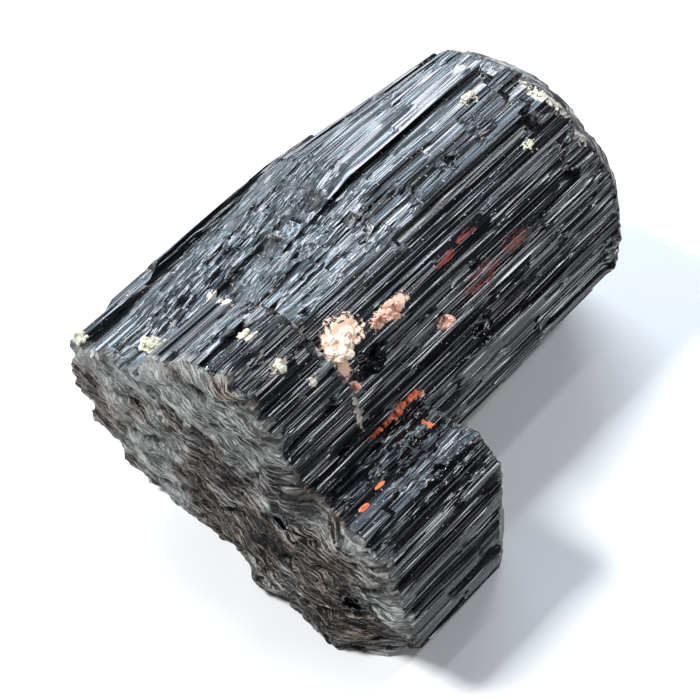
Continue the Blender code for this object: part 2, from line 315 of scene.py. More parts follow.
@dataclass(frozen=True)
class TourmalineFinish:
    """Vitreous black striated faces, dull fibrous breaks, and the stains and dust on them."""

    dark: tuple = (0.0016, 0.0018, 0.0026, 1.0)
    slate: tuple = (0.008, 0.0105, 0.0145, 1.0)
    break_dark: tuple = (0.008, 0.0062, 0.006, 1.0)
    break_pale: tuple = (0.66, 0.68, 0.65, 1.0)
    break_brown: tuple = (0.5, 0.4, 0.34, 1.0)
    red: tuple = (0.2, 0.018, 0.014, 1.0)
    orange: tuple = (0.78, 0.19, 0.07, 1.0)
    dust: tuple = (0.62, 0.57, 0.47, 1.0)
    peach: tuple = (0.8, 0.54, 0.4, 1.0)
    stria_lean: float = 0.55
    flat_lean: float = 0.22
    reds: tuple = (
        Spot((5.2, -6.8, 23.6), (5.2, 2.0, 2.4)), Spot((11.0, -6.4, 24.1), (4.4, 1.6, 2.0)),
        Spot((5.7, -3.6, 27.4), (2.6, 0.8, 1.0)), Spot((1.8, -3.9, 27.2), (3.0, 0.8, 1.0)),
        Spot((-28.3, -13.3, 4.9), (1.5, 1.3, 1.0)), Spot((-26.4, 8.8, 4.6), (1.5, 0.9, 1.4)),
    )
    oranges: tuple = (
        Spot((-12.9, -9.1, 18.8), (5.4, 0.8, 0.9)), Spot((-24.2, -14.2, 19.0), (1.3, 0.6, 0.7)),
        Spot((-21.0, -13.6, 18.9), (1.5, 0.4, 0.7)), Spot((-11.2, -12.0, 18.9), (0.9, 3.0, 1.5)),
    )
    blushes: tuple = (
        Spot((-13.6, -2.6, 28.0), (5.6, 3.8, 2.6)), Spot((-16.4, -4.8, 26.4), (2.6, 3.0, 2.8)),
        Spot((-7.6, -4.0, 27.3), (6.2, 1.9, 1.9)), Spot((-2.2, -7.2, 22.9), (1.9, 1.3, 1.4)),
        Spot((-16.2, -6.3, 24.6), (1.4, 1.2, 1.2)), Spot((-28.7, -13.3, 4.9), (1.2, 1.0, 0.8)),
    )
    dusts: tuple = (
        Spot((-15.2, 7.0, 29.3), (3.2, 2.6, 1.4)), Spot((-16.2, 13.4, 24.6), (1.8, 1.6, 1.6)),
        Spot((-13.0, 3.4, 29.4), (3.4, 1.4, 1.2)), Spot((26.6, 1.5, 28.6), (1.9, 8.0, 2.6)),
        Spot((25.8, -4.0, 26.6), (1.9, 2.4, 2.4)), Spot((-22.0, 2.6, 31.0), (2.2, 1.2, 1.0)),
        Spot((-22.4, -1.6, 30.4), (2.6, 1.5, 1.6)), Spot((-20.6, -4.4, 28.2), (2.0, 1.0, 1.4)),
        Spot((-24.2, 14.3, 22.8), (2.8, 2.8, 1.8)), Spot((-17.6, 9.6, 27.0), (1.6, 3.6, 2.0)),
        Spot((-17.4, -3.6, 29.0), (1.1, 3.4, 3.2)), Spot((-17.2, -7.6, 22.6), (1.0, 2.4, 6.0)),
    )

    def fibres(self, graph: Graph) -> Socket:
        """The noise of the broken faces' fibres, which curve round one far centre.

        Args:
            graph: The material's nodes.

        Returns:
            The noise, about 0.5 on average.
        """
        centre = (0.0, FIBRE_CENTRE.x, FIBRE_CENTRE.y)
        across = graph.stretched((0.0, 1.0, 1.0))
        flat = graph.node("VectorMath", {0: across, 1: centre}, operation="SUBTRACT")
        ring = graph.node("VectorMath", {0: flat.outputs[0]}, operation="LENGTH").outputs["Value"]
        tight = graph.node("Math", {0: ring, 1: 4.2}, operation="MULTIPLY").outputs[0]
        along = graph.node("SeparateXYZ", {0: graph.stretched((0.35, 0.3, 1.0))})
        arc = graph.node("CombineXYZ", {0: tight, 1: along.outputs[1], 2: along.outputs[0]})
        broad = graph.stretched((0.17, 0.17, 0.17))
        warp = graph.node("TexNoise", {"Vector": broad, "Scale": 1.0, "Detail": 1.0})
        push = graph.node("VectorMath", {0: warp.outputs["Color"], 1: (3.2, 0.4, 0.5)}, operation="MULTIPLY")
        fray = graph.node("VectorMath", {0: arc.outputs[0], 1: push.outputs[0]}, operation="ADD")
        return graph.noise(fray.outputs[0], 9.0, 0.78)

    def paleness(self, graph: Graph, fibre: Socket, grain: Socket, cloud: Socket) -> Socket:
        """How pale the broken stone is: in fibres, flecks and clouds, with painted light that pales it
        towards +Y, and a painted highlight along the base's upper edge.

        Args:
            graph: The material's nodes.
            fibre: The fibres' noise.
            grain: The fine noise.
            cloud: The broad noise.

        Returns:
            The share of the pale tone.
        """
        leftward = graph.node("SeparateXYZ", {0: graph.mm}).outputs[1]
        # Cloudy tone of the stone, plus painted light that pales it towards +Y, the side the fill light comes
        # from.
        tone_and_painted_light = graph.node("Math", {0: graph.ramp(cloud, 0.38, 0.62, -0.2, 0.14)}, operation="ADD")
        graph.feed(tone_and_painted_light.inputs[1], graph.ramp(leftward, -4.0, 20.0, -0.04, 0.2))
        flecks = graph.ramp(grain, 0.55, 0.7, 0.0, 0.45)
        streaks = graph.node("Math", {0: graph.ramp(fibre, 0.47, 0.59), 1: flecks}, operation="MAXIMUM")
        # Painted highlight on the base's upper edge: paler there, with its pale fibres everywhere along it.
        rim_highlight = graph.node("Attribute", attribute_name="rim_highlight").outputs["Fac"]
        blotch = graph.noise(graph.stretched((0.3, 0.3, 0.3)), 5.0, 0.6)
        patch = graph.math("MAXIMUM", graph.ramp(blotch, 0.43, 0.56, 0.5, 1.0), rim_highlight)
        lit = graph.node("Math", {0: tone_and_painted_light.outputs[0], 1: graph.math("MULTIPLY", rim_highlight, 0.2)}, operation="ADD")
        return graph.math("MULTIPLY", graph.math("ADD", streaks.outputs[0], lit.outputs[0]), patch)

    def stained(self, graph: Graph, colour: Socket, grain: Socket) -> tuple[Socket, Socket]:
        """Lay the red, orange and peach stains, the dust and the specks over a colour.

        Args:
            graph: The material's nodes.
            colour: The bare stone's colour.
            grain: The noise that frays the spots.

        Returns:
            The stained colour, and how dull the stains make the surface.
        """
        streaky = graph.ramp(graph.noise(graph.stretched((0.3, 1.8, 1.8)), 4.0, 0.6), 0.43, 0.57)
        red = graph.math("MULTIPLY", graph.spots(self.reds, grain, 0.95, 0.3), streaky)
        orange = graph.spots(self.oranges, grain, 0.74)
        blush = graph.spots(self.blushes, grain, 0.68)
        specks = graph.noise(graph.stretched((2.6, 2.6, 2.6)), 2.0, 0.6)
        dust = graph.spots(self.dusts, grain, 0.6)
        dust = graph.math("MAXIMUM", dust, graph.ramp(specks, 0.7, 0.72, 0.0, 0.75))
        colour = graph.mix(graph.math("MULTIPLY", red, 0.85), colour, self.red)
        for mask, stain in ((orange, self.orange), (blush, self.peach), (dust, self.dust)):
            colour = graph.mix(mask, colour, stain)
        iron = graph.math("MAXIMUM", graph.math("MULTIPLY", red, 0.35), orange)
        return colour, graph.math("MAXIMUM", iron, graph.math("MAXIMUM", blush, dust))

    def normal(self, graph: Graph, broken: Socket, fibre: Socket, grain: Socket) -> Socket:
        """The relief of the finest striae and of the breaks, and each stria's own lean.

        Args:
            graph: The material's nodes.
            broken: Where the surface is broken.
            fibre: The fibres' noise.
            grain: The fine noise.

        Returns:
            The normal.
        """
        flat_here = graph.node("Attribute", attribute_name="flat").outputs["Fac"]
        ridges = graph.noise(graph.stretched((0.05, 2.4, 2.4)), 1.0)
        lines = graph.bump(graph.math("MULTIPLY", ridges, graph.ramp(flat_here, 0.0, 1.0, 1.0, 0.3)), 0.06)
        torn = graph.math("ADD", fibre, graph.math("MULTIPLY", grain, 0.5))
        pitted = graph.bump(graph.math("MULTIPLY", broken, torn), 0.5, lines)
        cells = graph.node("TexVoronoi", {"Vector": graph.stretched((0.035, 2.6, 2.6)), "Scale": 1.0})
        lean = graph.node("VectorMath", {0: cells.outputs["Color"], 1: (0.5, 0.5, 0.3)}, operation="SUBTRACT")
        share = graph.ramp(broken, 0.0, 0.6, self.stria_lean, 0.0)
        sides = graph.node("CombineXYZ", {1: share, 2: share})
        lean = graph.node("VectorMath", {0: lean.outputs[0], 1: sides.outputs[0]}, operation="MULTIPLY")
        calm = graph.ramp(flat_here, 0.0, 1.0, 1.0, self.flat_lean)
        lean = graph.node("VectorMath", {0: lean.outputs[0], "Scale": calm}, operation="SCALE")
        leaned = graph.node("VectorMath", {0: pitted, 1: lean.outputs[0]}, operation="ADD")
        return graph.node("VectorMath", {0: leaned.outputs[0]}, operation="NORMALIZE").outputs[0]

    def material(self) -> bpy.types.Material:
        """Build the finish's material.

        Returns:
            The material.
        """
        graph = Graph(Slot.TOURMALINE.value)
        broken = graph.node("Attribute", attribute_name="broken").outputs["Fac"]
        streak = graph.noise(graph.stretched((0.05, 2.2, 2.2)), 4.0, 0.65)
        hair = graph.noise(graph.stretched((0.09, 9.0, 9.0)), 2.0)
        grain = graph.noise(graph.stretched((1.6, 1.6, 1.6)), 6.0, 0.65)
        cloud = graph.noise(graph.stretched((0.12, 0.12, 0.12)), 3.0)
        fibre = self.fibres(graph)
        face = graph.mix(graph.ramp(streak, 0.35, 0.68), self.dark, self.slate)
        face = graph.mix(graph.ramp(cloud, 0.4, 0.62, 0.5, 0.0), face, self.dark)
        pale = self.paleness(graph, fibre, grain, cloud)
        stone = graph.mix(graph.ramp(cloud, 0.42, 0.58), self.break_brown, self.break_pale)
        bare = graph.mix(broken, face, graph.mix(pale, self.break_dark, stone))
        colour, dull = self.stained(graph, bare, grain)
        hairs = graph.ramp(hair, 0.3, 0.7, 0.0, 0.04)
        face_rough = graph.math("ADD", graph.ramp(streak, 0.3, 0.7, 0.06, 0.15), hairs)
        rough = graph.node("Mix", {0: broken, 2: face_rough, 3: 0.5}).outputs[0]
        rough = graph.node("Mix", {0: dull, 2: rough, 3: 0.75}).outputs[0]
        # Specular level is lower on the dark striae and in the dark fibres of the breaks. This paints shade
        # into the reflections, standing in for the shade of grooves and hackly hollows.
        face_gloss_painted_shade = graph.ramp(streak, 0.38, 0.58, 0.24, 0.55)
        break_gloss_painted_shade = graph.ramp(pale, 0.0, 0.5, 0.14, 0.45)
        gloss_with_painted_shade = graph.node("Mix", {0: broken, 2: face_gloss_painted_shade, 3: break_gloss_painted_shade}).outputs[0]
        graph.feed(graph.shader.inputs["Base Color"], colour)
        graph.feed(graph.shader.inputs["Roughness"], rough)
        graph.feed(graph.shader.inputs["Normal"], self.normal(graph, broken, fibre, grain))
        graph.feed(graph.shader.inputs["Specular IOR Level"], gloss_with_painted_shade)
        graph.shader.inputs["IOR"].default_value = 1.64
        return graph.material


@dataclass(frozen=True)
class GrainFinish:
    """A granular mineral: two tones, how mottled it is and its gloss."""

    slot: Slot
    pale: tuple
    deep: tuple
    roughness: float

    def material(self) -> bpy.types.Material:
        """Build the finish's material.

        Returns:
            The material.
        """
        graph = Graph(self.slot.value)
        mottle = graph.noise(graph.stretched((1.3, 1.3, 1.3)), 5.0, 0.6)
        crumb = graph.noise(graph.stretched((5.0, 5.0, 5.0)), 5.0, 0.7)
        cell = graph.node("TexVoronoi", {"Vector": graph.mm, "Scale": 3.2}).outputs["Distance"]
        colour = graph.mix(graph.ramp(mottle, 0.4, 0.62), self.pale, self.deep)
        shade = tuple(channel * 0.4 for channel in self.deep[:3]) + (1.0,)
        colour = graph.mix(graph.ramp(crumb, 0.6, 0.78, 0.0, 0.7), colour, shade)
        graph.feed(graph.shader.inputs["Base Color"], colour)
        graph.feed(graph.shader.inputs["Roughness"], graph.ramp(crumb, 0.3, 0.7, self.roughness, 0.8))
        graph.feed(graph.shader.inputs["Normal"], graph.bump(crumb, 0.1, graph.bump(cell, 0.12)))
        graph.shader.inputs["Subsurface Weight"].default_value = 0.15
        graph.shader.inputs["Subsurface Radius"].default_value = (0.0008, 0.0005, 0.0004)
        return graph.material


FINISHES = (
    GrainFinish(Slot.WHITE, (0.9, 0.77, 0.64, 1.0), (0.85, 0.6, 0.46, 1.0), 0.5),
    GrainFinish(Slot.PEACH, (0.85, 0.6, 0.5, 1.0), (0.75, 0.33, 0.24, 1.0), 0.5),
    GrainFinish(Slot.CREAM, (0.8, 0.79, 0.66, 1.0), (0.6, 0.58, 0.42, 1.0), 0.42),
    GrainFinish(Slot.IRON, (0.95, 0.38, 0.22, 1.0), (0.8, 0.12, 0.05, 1.0), 0.6),
    GrainFinish(Slot.QUARTZ, (0.62, 0.61, 0.58, 1.0), (0.36, 0.35, 0.33, 1.0), 0.3),
)


def only(obj: bpy.types.Object) -> bpy.types.Object:
    """Deselect everything, then select one object and make it active.

    Args:
        obj: The object.

    Returns:
        The same object.
    """
    bpy.ops.object.select_all(action="DESELECT")
    obj.select_set(True)
    bpy.context.view_layer.objects.active = obj
    return obj


def apply_modifier(obj: bpy.types.Object, kind: str, **settings: object) -> None:
    """Add a modifier to an object and apply it.

    Args:
        obj: The object.
        kind: The modifier's type.
        settings: Its properties.
    """
    modifier = only(obj).modifiers.new(kind, kind)
    for key, value in settings.items():
        setattr(modifier, key, value)
    bpy.ops.object.modifier_apply(modifier=modifier.name)


def boolean(obj: bpy.types.Object, other: bpy.types.Object, operation: str) -> None:
    """Join or cut an object with another, and remove the other."""
    apply_modifier(obj, "BOOLEAN", operation=operation, object=other, solver="MANIFOLD")
    bpy.data.objects.remove(other)


def closed_object(name: str, points: list, faces: list) -> bpy.types.Object:
    """Make an object from points and faces, with its normals pointing out.

    Args:
        name: The object's name.
        points: Its points in millimetres.
        faces: Its faces, as tuples of point numbers.

    Returns:
        The object, linked to the scene.
    """
    data = bpy.data.meshes.new(name)
    data.from_pydata(points, [], faces)
    obj = bpy.data.objects.new(name, data)
    bpy.context.scene.collection.objects.link(obj)
    only(obj)
    bpy.ops.object.mode_set(mode="EDIT")
    bpy.ops.mesh.select_all(action="SELECT")
    bpy.ops.mesh.normals_make_consistent(inside=False)
    bpy.ops.object.mode_set(mode="OBJECT")
    return obj


@dataclass
class StriatedCrystal:
    """A crystal lofted along X: coarse laths as in the model, each split into fine striae."""

    name: str
    outline: list
    start_x: float
    end_x: float
    breaks: tuple
    widths: tuple
    bands: list
    seed: int
    fine: tuple
    weathered: tuple = (0.0, 0.0, 0.0, 0.0)
    columns: list = field(default_factory=list)
    nominal: list = field(default_factory=list)

    def core(self) -> list[Vector]:
        """Move the outline inward by the laths' mean height.

        Returns:
            The core's corners.
        """
        moved = []
        for i, corner in enumerate(self.outline):
            here = Vector(corner)
            back = (here - Vector(self.outline[i - 1])).normalized()
            ahead = (Vector(self.outline[(i + 1) % len(self.outline)]) - here).normalized()
            inward = Vector((back.y + ahead.y, -back.x - ahead.x)).normalized()
            moved.append(here + inward * CORE_INSET / inward.dot(Vector((ahead.y, -ahead.x))))
        return moved

    def laths(self, rng: random.Random) -> list[tuple]:
        """Split the core's sides into coarse laths.

        Args:
            rng: The model's own sequence of draws.

        Returns:
            Each lath's start, end, outward normal and distance round the outline.
        """
        found = []
        walked = 0.0
        core = self.core()
        for i, start in enumerate(core):
            side = core[(i + 1) % len(core)] - start
            outward = Vector((-side.y, side.x)).normalized()
            count = max(1, round(side.length / rng.uniform(*self.widths)))
            inner = [(k + rng.uniform(-0.28, 0.28)) / count for k in range(1, count)]
            stops = [0.0, *inner, 1.0]
            for first, last in zip(stops, stops[1:]):
                middle = walked + side.length * (first + last) / 2
                found.append((start + side * first, start + side * last, outward, middle))
            walked += side.length
        return found

    def lath_heights(self, middle: float, stretches: list, rng: random.Random) -> list[float]:
        """Draw one coarse lath's height on each stretch between breaks.

        Args:
            middle: The lath's distance round the outline.
            stretches: The start and end of each stretch.
            rng: The model's own sequence of draws.

        Returns:
            The heights.
        """
        heights = []
        height = rng.uniform(0.0, LATH_HEIGHT)
        for start_x, end_x in stretches:
            if rng.random() < LATH_CHANGES:
                height = rng.uniform(0.0, LATH_HEIGHT)
            shown = height
            for band in self.bands:
                on_run = band.start_x <= (start_x + end_x) / 2 <= band.end_x
                if on_run and band.first <= middle <= band.last:
                    shown = band.height + BAND_RELIEF * height
            heights.append(shown)
        return heights

    def weathering(self, x: float, middle: float) -> float:
        """How much rougher the striae are than fresh ones.

        Args:
            x: The place along the crystal.
            middle: Its distance round the outline.

        Returns:
            1 where they are fresh, and more where they weathered.
        """
        first, last, start_x, end_x = self.weathered
        inside = first < middle < last and start_x < x < end_x
        return WEATHERED if inside else 1.0

    def chipping(self, x: float, middle: float) -> float:
        """How much a weathered face has lost at one place.

        Args:
            x: The place along the crystal.
            middle: Its distance round the outline.

        Returns:
            The depth in millimetres.
        """
        if self.weathering(x, middle) == 1.0:
            return 0.0
        lump = noise.noise(Vector((x * 0.8, middle * 0.7, self.seed)))
        return CHIP * min(1.0, max(0.0, lump * 4.0))

    def stria_columns(
        self, first: Vector, last: Vector, outward: Vector, middle: float, stops: list, heights: list
    ) -> None:
        """Add the columns of one coarse lath's striae.

        Args:
            first: Where the lath starts on the outline.
            last: Where it ends.
            outward: Its outward normal.
            middle: Its distance round the outline.
            stops: The x of its start, of its own breaks and of its end.
            heights: Its height between them.
        """
        rng = random.Random(f"{self.seed} {middle:.3f}")
        width = (last - first).length
        raised = any(band.first <= middle <= band.last and band.height > 0.5 for band in self.bands)
        smooth = raised or rng.random() < (SMOOTH_ON_TOP if outward.x > -0.5 else SMOOTH_ON_SLOPE)
        calm = CALM if smooth else 1.0
        plain = smooth or not self.fine[0] < middle < self.fine[1]
        count = max(1, round(width / (PLAIN_WIDTH if plain else STRIA_WIDTH)))
        edges = [0.0, *((k + rng.uniform(-0.38, 0.38)) / count for k in range(1, count)), 1.0]
        inset = WALL / width
        for low, high in zip(edges, edges[1:]):
            relief, tilt = 0.0, 0.0
            stations = []
            inner = [x + rng.uniform(-END_JITTER, END_JITTER) for x in stops[1:-1]]
            ragged = [stops[0], *inner, stops[-1]]
            slant = rng.uniform(BREAK_WIDTH / 2, 3.0 * BREAK_WIDTH)
            for k, height in enumerate(heights):
                start_x, end_x = ragged[k], ragged[k + 1]
                nominal = self.nominal[k]
                for part in range(nominal):
                    here = start_x + (end_x - start_x) * part / nominal
                    rougher = self.weathering(here, middle)
                    if not stations or rng.random() < STRIA_CHANGES * rougher:
                        relief = STRIA_HEIGHT * calm * rng.random() ** 1.6 * rougher
                        tilt = rng.gauss(0.0, STRIA_TILT) * calm
                    jitter = rng.uniform(-0.3, 0.3) if part else 0.0
                    gap = STRIA_STEP if part else slant
                    if stations:
                        stations.append((here + jitter - gap, stations[-1][1], stations[-1][2]))
                    stations.append((here + jitter + gap * bool(stations), height - relief, tilt))
            stations.append((stops[-1], stations[-1][1], stations[-1][2]))
            span = min(inset, (high - low) * 0.2)
            for share, lean in ((low + span, 0.5), (high - span, -0.5)):
                point = first + (last - first) * share
                column = []
                for x, height, slope in stations:
                    wave = WAVE * noise.noise(Vector((x * 0.13, point.x * 0.3, point.y * 0.3)))
                    place = point + outward * (height + slope * lean + wave - self.chipping(x, middle))
                    column.append((x, place.x, place.y))
                self.columns.append(column)

    def build(self) -> bpy.types.Object:
        """Loft the crystal.

        Returns:
            The crystal, closed, in millimetres.
        """
        rng = random.Random(self.seed)
        line = [self.start_x, *self.breaks, self.end_x]
        stretches = list(zip(line, line[1:]))
        self.nominal = [max(2, round((end - start) / STRIA_RUN)) for start, end in stretches]
        for first, last, outward, middle in self.laths(rng):
            heights = self.lath_heights(middle, stretches, rng)
            shifts = [rng.uniform(-BREAK_JITTER, BREAK_JITTER) for _ in self.breaks]
            stops = [self.start_x, *(x + shift for x, shift in zip(self.breaks, shifts)), self.end_x]
            self.stria_columns(first, last, outward, middle, stops, heights)
        tall, wide = len(self.columns[0]), len(self.columns)
        points = [point for column in self.columns for point in column]
        faces = [
            (i * tall + k, i * tall + k + 1, (i + 1) % wide * tall + k + 1, (i + 1) % wide * tall + k)
            for i in range(wide)
            for k in range(tall - 1)
        ]
        faces.append(tuple(i * tall for i in range(wide)))
        faces.append(tuple(i * tall + tall - 1 for i in reversed(range(wide))))
        LOG.info("%s: %d columns of %d points", self.name, wide, tall)
        return closed_object(self.name, points, faces)


def hump(y: float, z: float, centre: tuple, radius: float) -> float:
    """A smooth hump of height 1, for swelling or sinking a broken face."""
    return math.exp(-((y - centre[0]) ** 2 + (z - centre[1]) ** 2) / radius**2)


def rim_distance(y: float, z: float) -> float:
    """How far a place on the broken base is from its upper edge.

    Args:
        y: The place's y.
        z: The place's z.

    Returns:
        The distance, and no more than RIM_GLOW.
    """
    spot = Vector((y, z))
    nearest = RIM_GLOW
    for start, end in zip(RIM, RIM[1:]):
        start, side = Vector(start), Vector(end) - Vector(start)
        share = min(1.0, max(0.0, (spot - start).dot(side) / side.length_squared))
        nearest = min(nearest, (spot - start - side * share).length)
    return nearest


def rim_chamfer(y: float, z: float) -> float:
    """How far the broken base falls back along its upper edge."""
    ragged = 0.75 + 0.6 * noise.noise(Vector((y * 0.35, z * 0.35, 11.0)))
    return RIM_DEPTH * ragged * max(0.0, 1.0 - rim_distance(y, z) / RIM_WIDTH)


def base_break(y: float, z: float) -> float:
    """The broken base's x, as the model has it, with its upper edge chipped back.

    Args:
        y: The place's y.
        z: The place's z.

    Returns:
        The x.
    """
    on_main = min(1.0, max(0.0, (y + 10.0) / 10.0))
    lean = 0.08 * (28.5 - z) * on_main
    groove = 2.6 * hump(y, z, (-10.2, 17.6), 2.6)
    side_foot = 3.4 * hump(y, z, (-22.5, 2.5), 4.2) - 1.2 * hump(y, z, (-13.5, 1.0), 2.5)
    middle_foot = -2.0 * hump(y, z, (-4.0, 1.5), 4.0)
    return BASE_X + lean + groove + side_foot + middle_foot + rim_chamfer(y, z)


def far_break(y: float, z: float) -> float:
    """The broken far end's x, as the model has it."""
    reach = math.hypot((y - 6.8) / 17.8, (z - 14.8) / 16.0)
    return FAR_X - 0.3 - 24.0 * max(0.0, reach - 0.79) ** 1.15


def front_break(y: float, z: float) -> float:
    """The cliff at the front crystal's end."""
    return FRONT_END_X + 0.12 * (29.0 - z)


def side_break(y: float, z: float) -> float:
    """The side crystal's broken end."""
    return SIDE_END_X + 0.08 * (16.5 - z) - 1.4 * max(0.0, -20.3 - y)


def fall(x: float, y: float, z: float) -> float:
    """How far the main crystal's upper left face has fallen at one place.

    Args:
        x: The place's x.
        y: The place's y.
        z: The place's z.

    Returns:
        The fall in millimetres.
    """
    share = min(1.0, max(0.0, (FALL_START_X - x) / (FALL_START_X - FALL_END_X)))
    share *= min(1.0, max(0.0, (z - FALL_LOW_Z) / (FALL_HIGH_Z - FALL_LOW_Z)))
    for (start, low), (end, high) in zip(FALL, FALL[1:]):
        if start <= y < end:
            return share * (low + (high - low) * (y - start) / (end - start))
    return 0.0


@dataclass(frozen=True)
class Fracture:
    """A broken end: a block whose near face is hackly, which cuts the end away."""

    place: Callable[[float, float], float]
    toward: float
    low: tuple
    high: tuple
    seed: int
    pitch: float

    def depth(self, y: float, z: float) -> float:
        """The broken surface's relief at one place: coarse ledges, curved fibres, lumps and pits.

        Args:
            y: The place's y.
            z: The place's z.

        Returns:
            The relief along x.
        """
        spot = Vector((y * NOISE_PER_MM, z * NOISE_PER_MM, self.seed))
        swell = noise.fractal(spot, 0.9, 2.1, 4)
        stepped = round(swell / LEDGE) * LEDGE
        share = min(1.0, max(0.0, 0.5 + noise.noise(spot * 0.6 + Vector((5.0, 0.0, 0.0))) * 1.5))
        coarse = ROUGHNESS * (swell * (1 - share) + stepped * share)
        away = Vector((y, z)) - FIBRE_CENTRE
        run = math.atan2(away.y, away.x) * away.length
        ring = Vector((away.length * 1.7, run * 0.16, self.seed + 3.0))
        fibres = FIBRE_RELIEF * noise.fractal(ring, 0.7, 2.1, 5)
        bend = Vector((away.length * 0.85, run * 0.3, self.seed + 6.0))
        lumps = LUMP_RELIEF * noise.fractal(bend, 0.6, 2.2, 4)
        hole = Vector((away.length * 0.6, run * 0.35, self.seed + 9.0))
        pit = PIT_DEPTH * max(0.0, noise.noise(hole) - PIT_START)
        return coarse + fibres + lumps + (pit if self.toward < 0.0 else -pit)

    def surface(self, y: float, z: float) -> float:
        """The broken surface's x at one place."""
        return self.place(y, z) + self.depth(y, z)

    def block(self) -> bpy.types.Object:
        """Model the block from a grid that is extruded away from the crystal.

        Returns:
            The block, closed, in millimetres.
        """
        wide, tall = self.high[0] - self.low[0], self.high[1] - self.low[1]
        bpy.ops.object.select_all(action="DESELECT")
        bpy.ops.mesh.primitive_grid_add(
            x_subdivisions=round(wide / self.pitch), y_subdivisions=round(tall / self.pitch), size=1.0
        )
        grid = bpy.context.object
        for vert in grid.data.vertices:
            y = self.low[0] + (vert.co.x + 0.5) * wide
            z = self.low[1] + (vert.co.y + 0.5) * tall
            vert.co = (self.surface(y, z), y, z)
        bpy.ops.object.mode_set(mode="EDIT")
        bpy.ops.mesh.select_all(action="SELECT")
        bpy.ops.mesh.extrude_region_move(TRANSFORM_OT_translate={"value": (self.toward, 0.0, 0.0)})
        bpy.ops.object.mode_set(mode="OBJECT")
        moved = [vert for vert in grid.data.vertices if vert.select]
        flat = self.place(0.0, 10.0) + self.toward
        for vert in moved:
            vert.co.x = flat
        bpy.ops.object.mode_set(mode="EDIT")
        bpy.ops.mesh.select_all(action="SELECT")
        bpy.ops.mesh.normals_make_consistent(inside=False)
        bpy.ops.object.mode_set(mode="OBJECT")
        return grid


@dataclass(frozen=True)
class Pit:
    """A rough hollow in a face: its centre and half sizes in millimetres."""

    centre: tuple
    radii: tuple

    def holds(self, spot: Vector) -> bool:
        """Whether a place lies in the hollow or on its wall."""
        return sum(((s - c) / (r * PIT_WALL)) ** 2 for s, c, r in zip(spot, self.centre, self.radii)) < 1.0

    def cutter(self) -> bpy.types.Object:
        """Model the hollow's lump from an icosphere.

        Returns:
            The lump.
        """
        bpy.ops.object.select_all(action="DESELECT")
        bpy.ops.mesh.primitive_ico_sphere_add(subdivisions=4, radius=1.0)
        lump = bpy.context.object
        for vert in lump.data.vertices:
            size = 1.0 + 0.5 * noise.noise(vert.co * 1.7 + Vector(self.centre))
            vert.co = Vector([c + a * r * size for c, a, r in zip(self.centre, vert.co, self.radii)])
        return lump


def main_crystal() -> StriatedCrystal:
    """The long crystal, with its raised and sunken bands."""
    return StriatedCrystal(
        "main", [
            (-11.2, 10.7), (-9.8, 17.0), (-7.6, 22.5), (-4.3, 27.1), (1.2, 29.1), (7.2, 29.5),
            (13.2, 28.5), (17.8, 26.7), (21.4, 23.9), (24.0, 20.1), (24.0, 13.5), (21.7, 7.5),
            (16.2, 2.3), (9.9, -0.9), (1.0, -0.9), (-5.3, 1.3), (-8.8, 5.5),
        ],
        BASE_X - RUN_OUT, FAR_X + RUN_OUT, (-22.0, -15.0, -8.0, -2.0, 4.0, 10.5, 17.0, 23.5), (1.1, 2.6),
        [
            Band(13.9, 16.2, 2.0, 23.0, -0.3), Band(20.6, 23.3, -3.0, 26.0, -0.45),
            Band(23.3, 26.6, -13.0, 0.0, 0.1), Band(23.3, 26.6, 1.5, 26.5, 0.95),
            Band(26.6, 30.1, -0.5, 26.5, 0.85), Band(30.1, 32.0, 5.0, 25.0, 0.0),
            Band(32.0, 33.2, -6.0, 27.0, 0.55), Band(33.2, 35.8, -9.0, 27.0, 0.65),
            Band(41.0, 45.6, -30.0, 5.0, 0.0),
        ],
        2, (0.0, 58.0), (23.0, 40.0, -27.0, 0.5),
    )


def front_crystal() -> StriatedCrystal:
    """The short crystal on top, which ends in a cliff."""
    return StriatedCrystal(
        "front", [
            (-9.2, 17.5), (-8.6, 19.7), (-7.5, 23.0), (-6.0, 26.1), (-4.0, 28.6), (-1.4, 30.7),
            (0.7, 31.5), (3.7, 31.0), (7.0, 29.6), (11.8, 25.6), (12.6, 24.0), (11.0, 12.5), (-6.8, 12.5),
        ],
        BASE_X - RUN_OUT, FRONT_END_X + 4.0, (-25.0, -21.0), (1.0, 2.2),
        [Band(27.5, 31.0, -30.0, -15.0, 0.9)], 5, (0.0, 33.0), (14.0, 26.0, -30.0, -15.0),
    )


def side_crystal() -> StriatedCrystal:
    """The crystal beside the long one."""
    return StriatedCrystal(
        "side", [
            (-24.0, 6.0), (-23.7, 10.0), (-22.4, 14.0), (-20.3, 17.3), (-17.3, 19.1), (-12.8, 18.8),
            (-8.3, 18.0), (-2.8, 10.0), (-4.8, 1.5), (-11.6, -0.9), (-18.5, -0.9), (-22.3, 2.0),
        ],
        BASE_X - RUN_OUT, SIDE_END_X + 7.0, (-25.0, -20.5, -16.0, -12.5), (1.0, 2.2),
        [Band(17.0, 26.0, -16.0, -5.0, 0.1)], 8, (0.0, 26.0), (12.0, 26.0, -20.0, -5.0),
    )


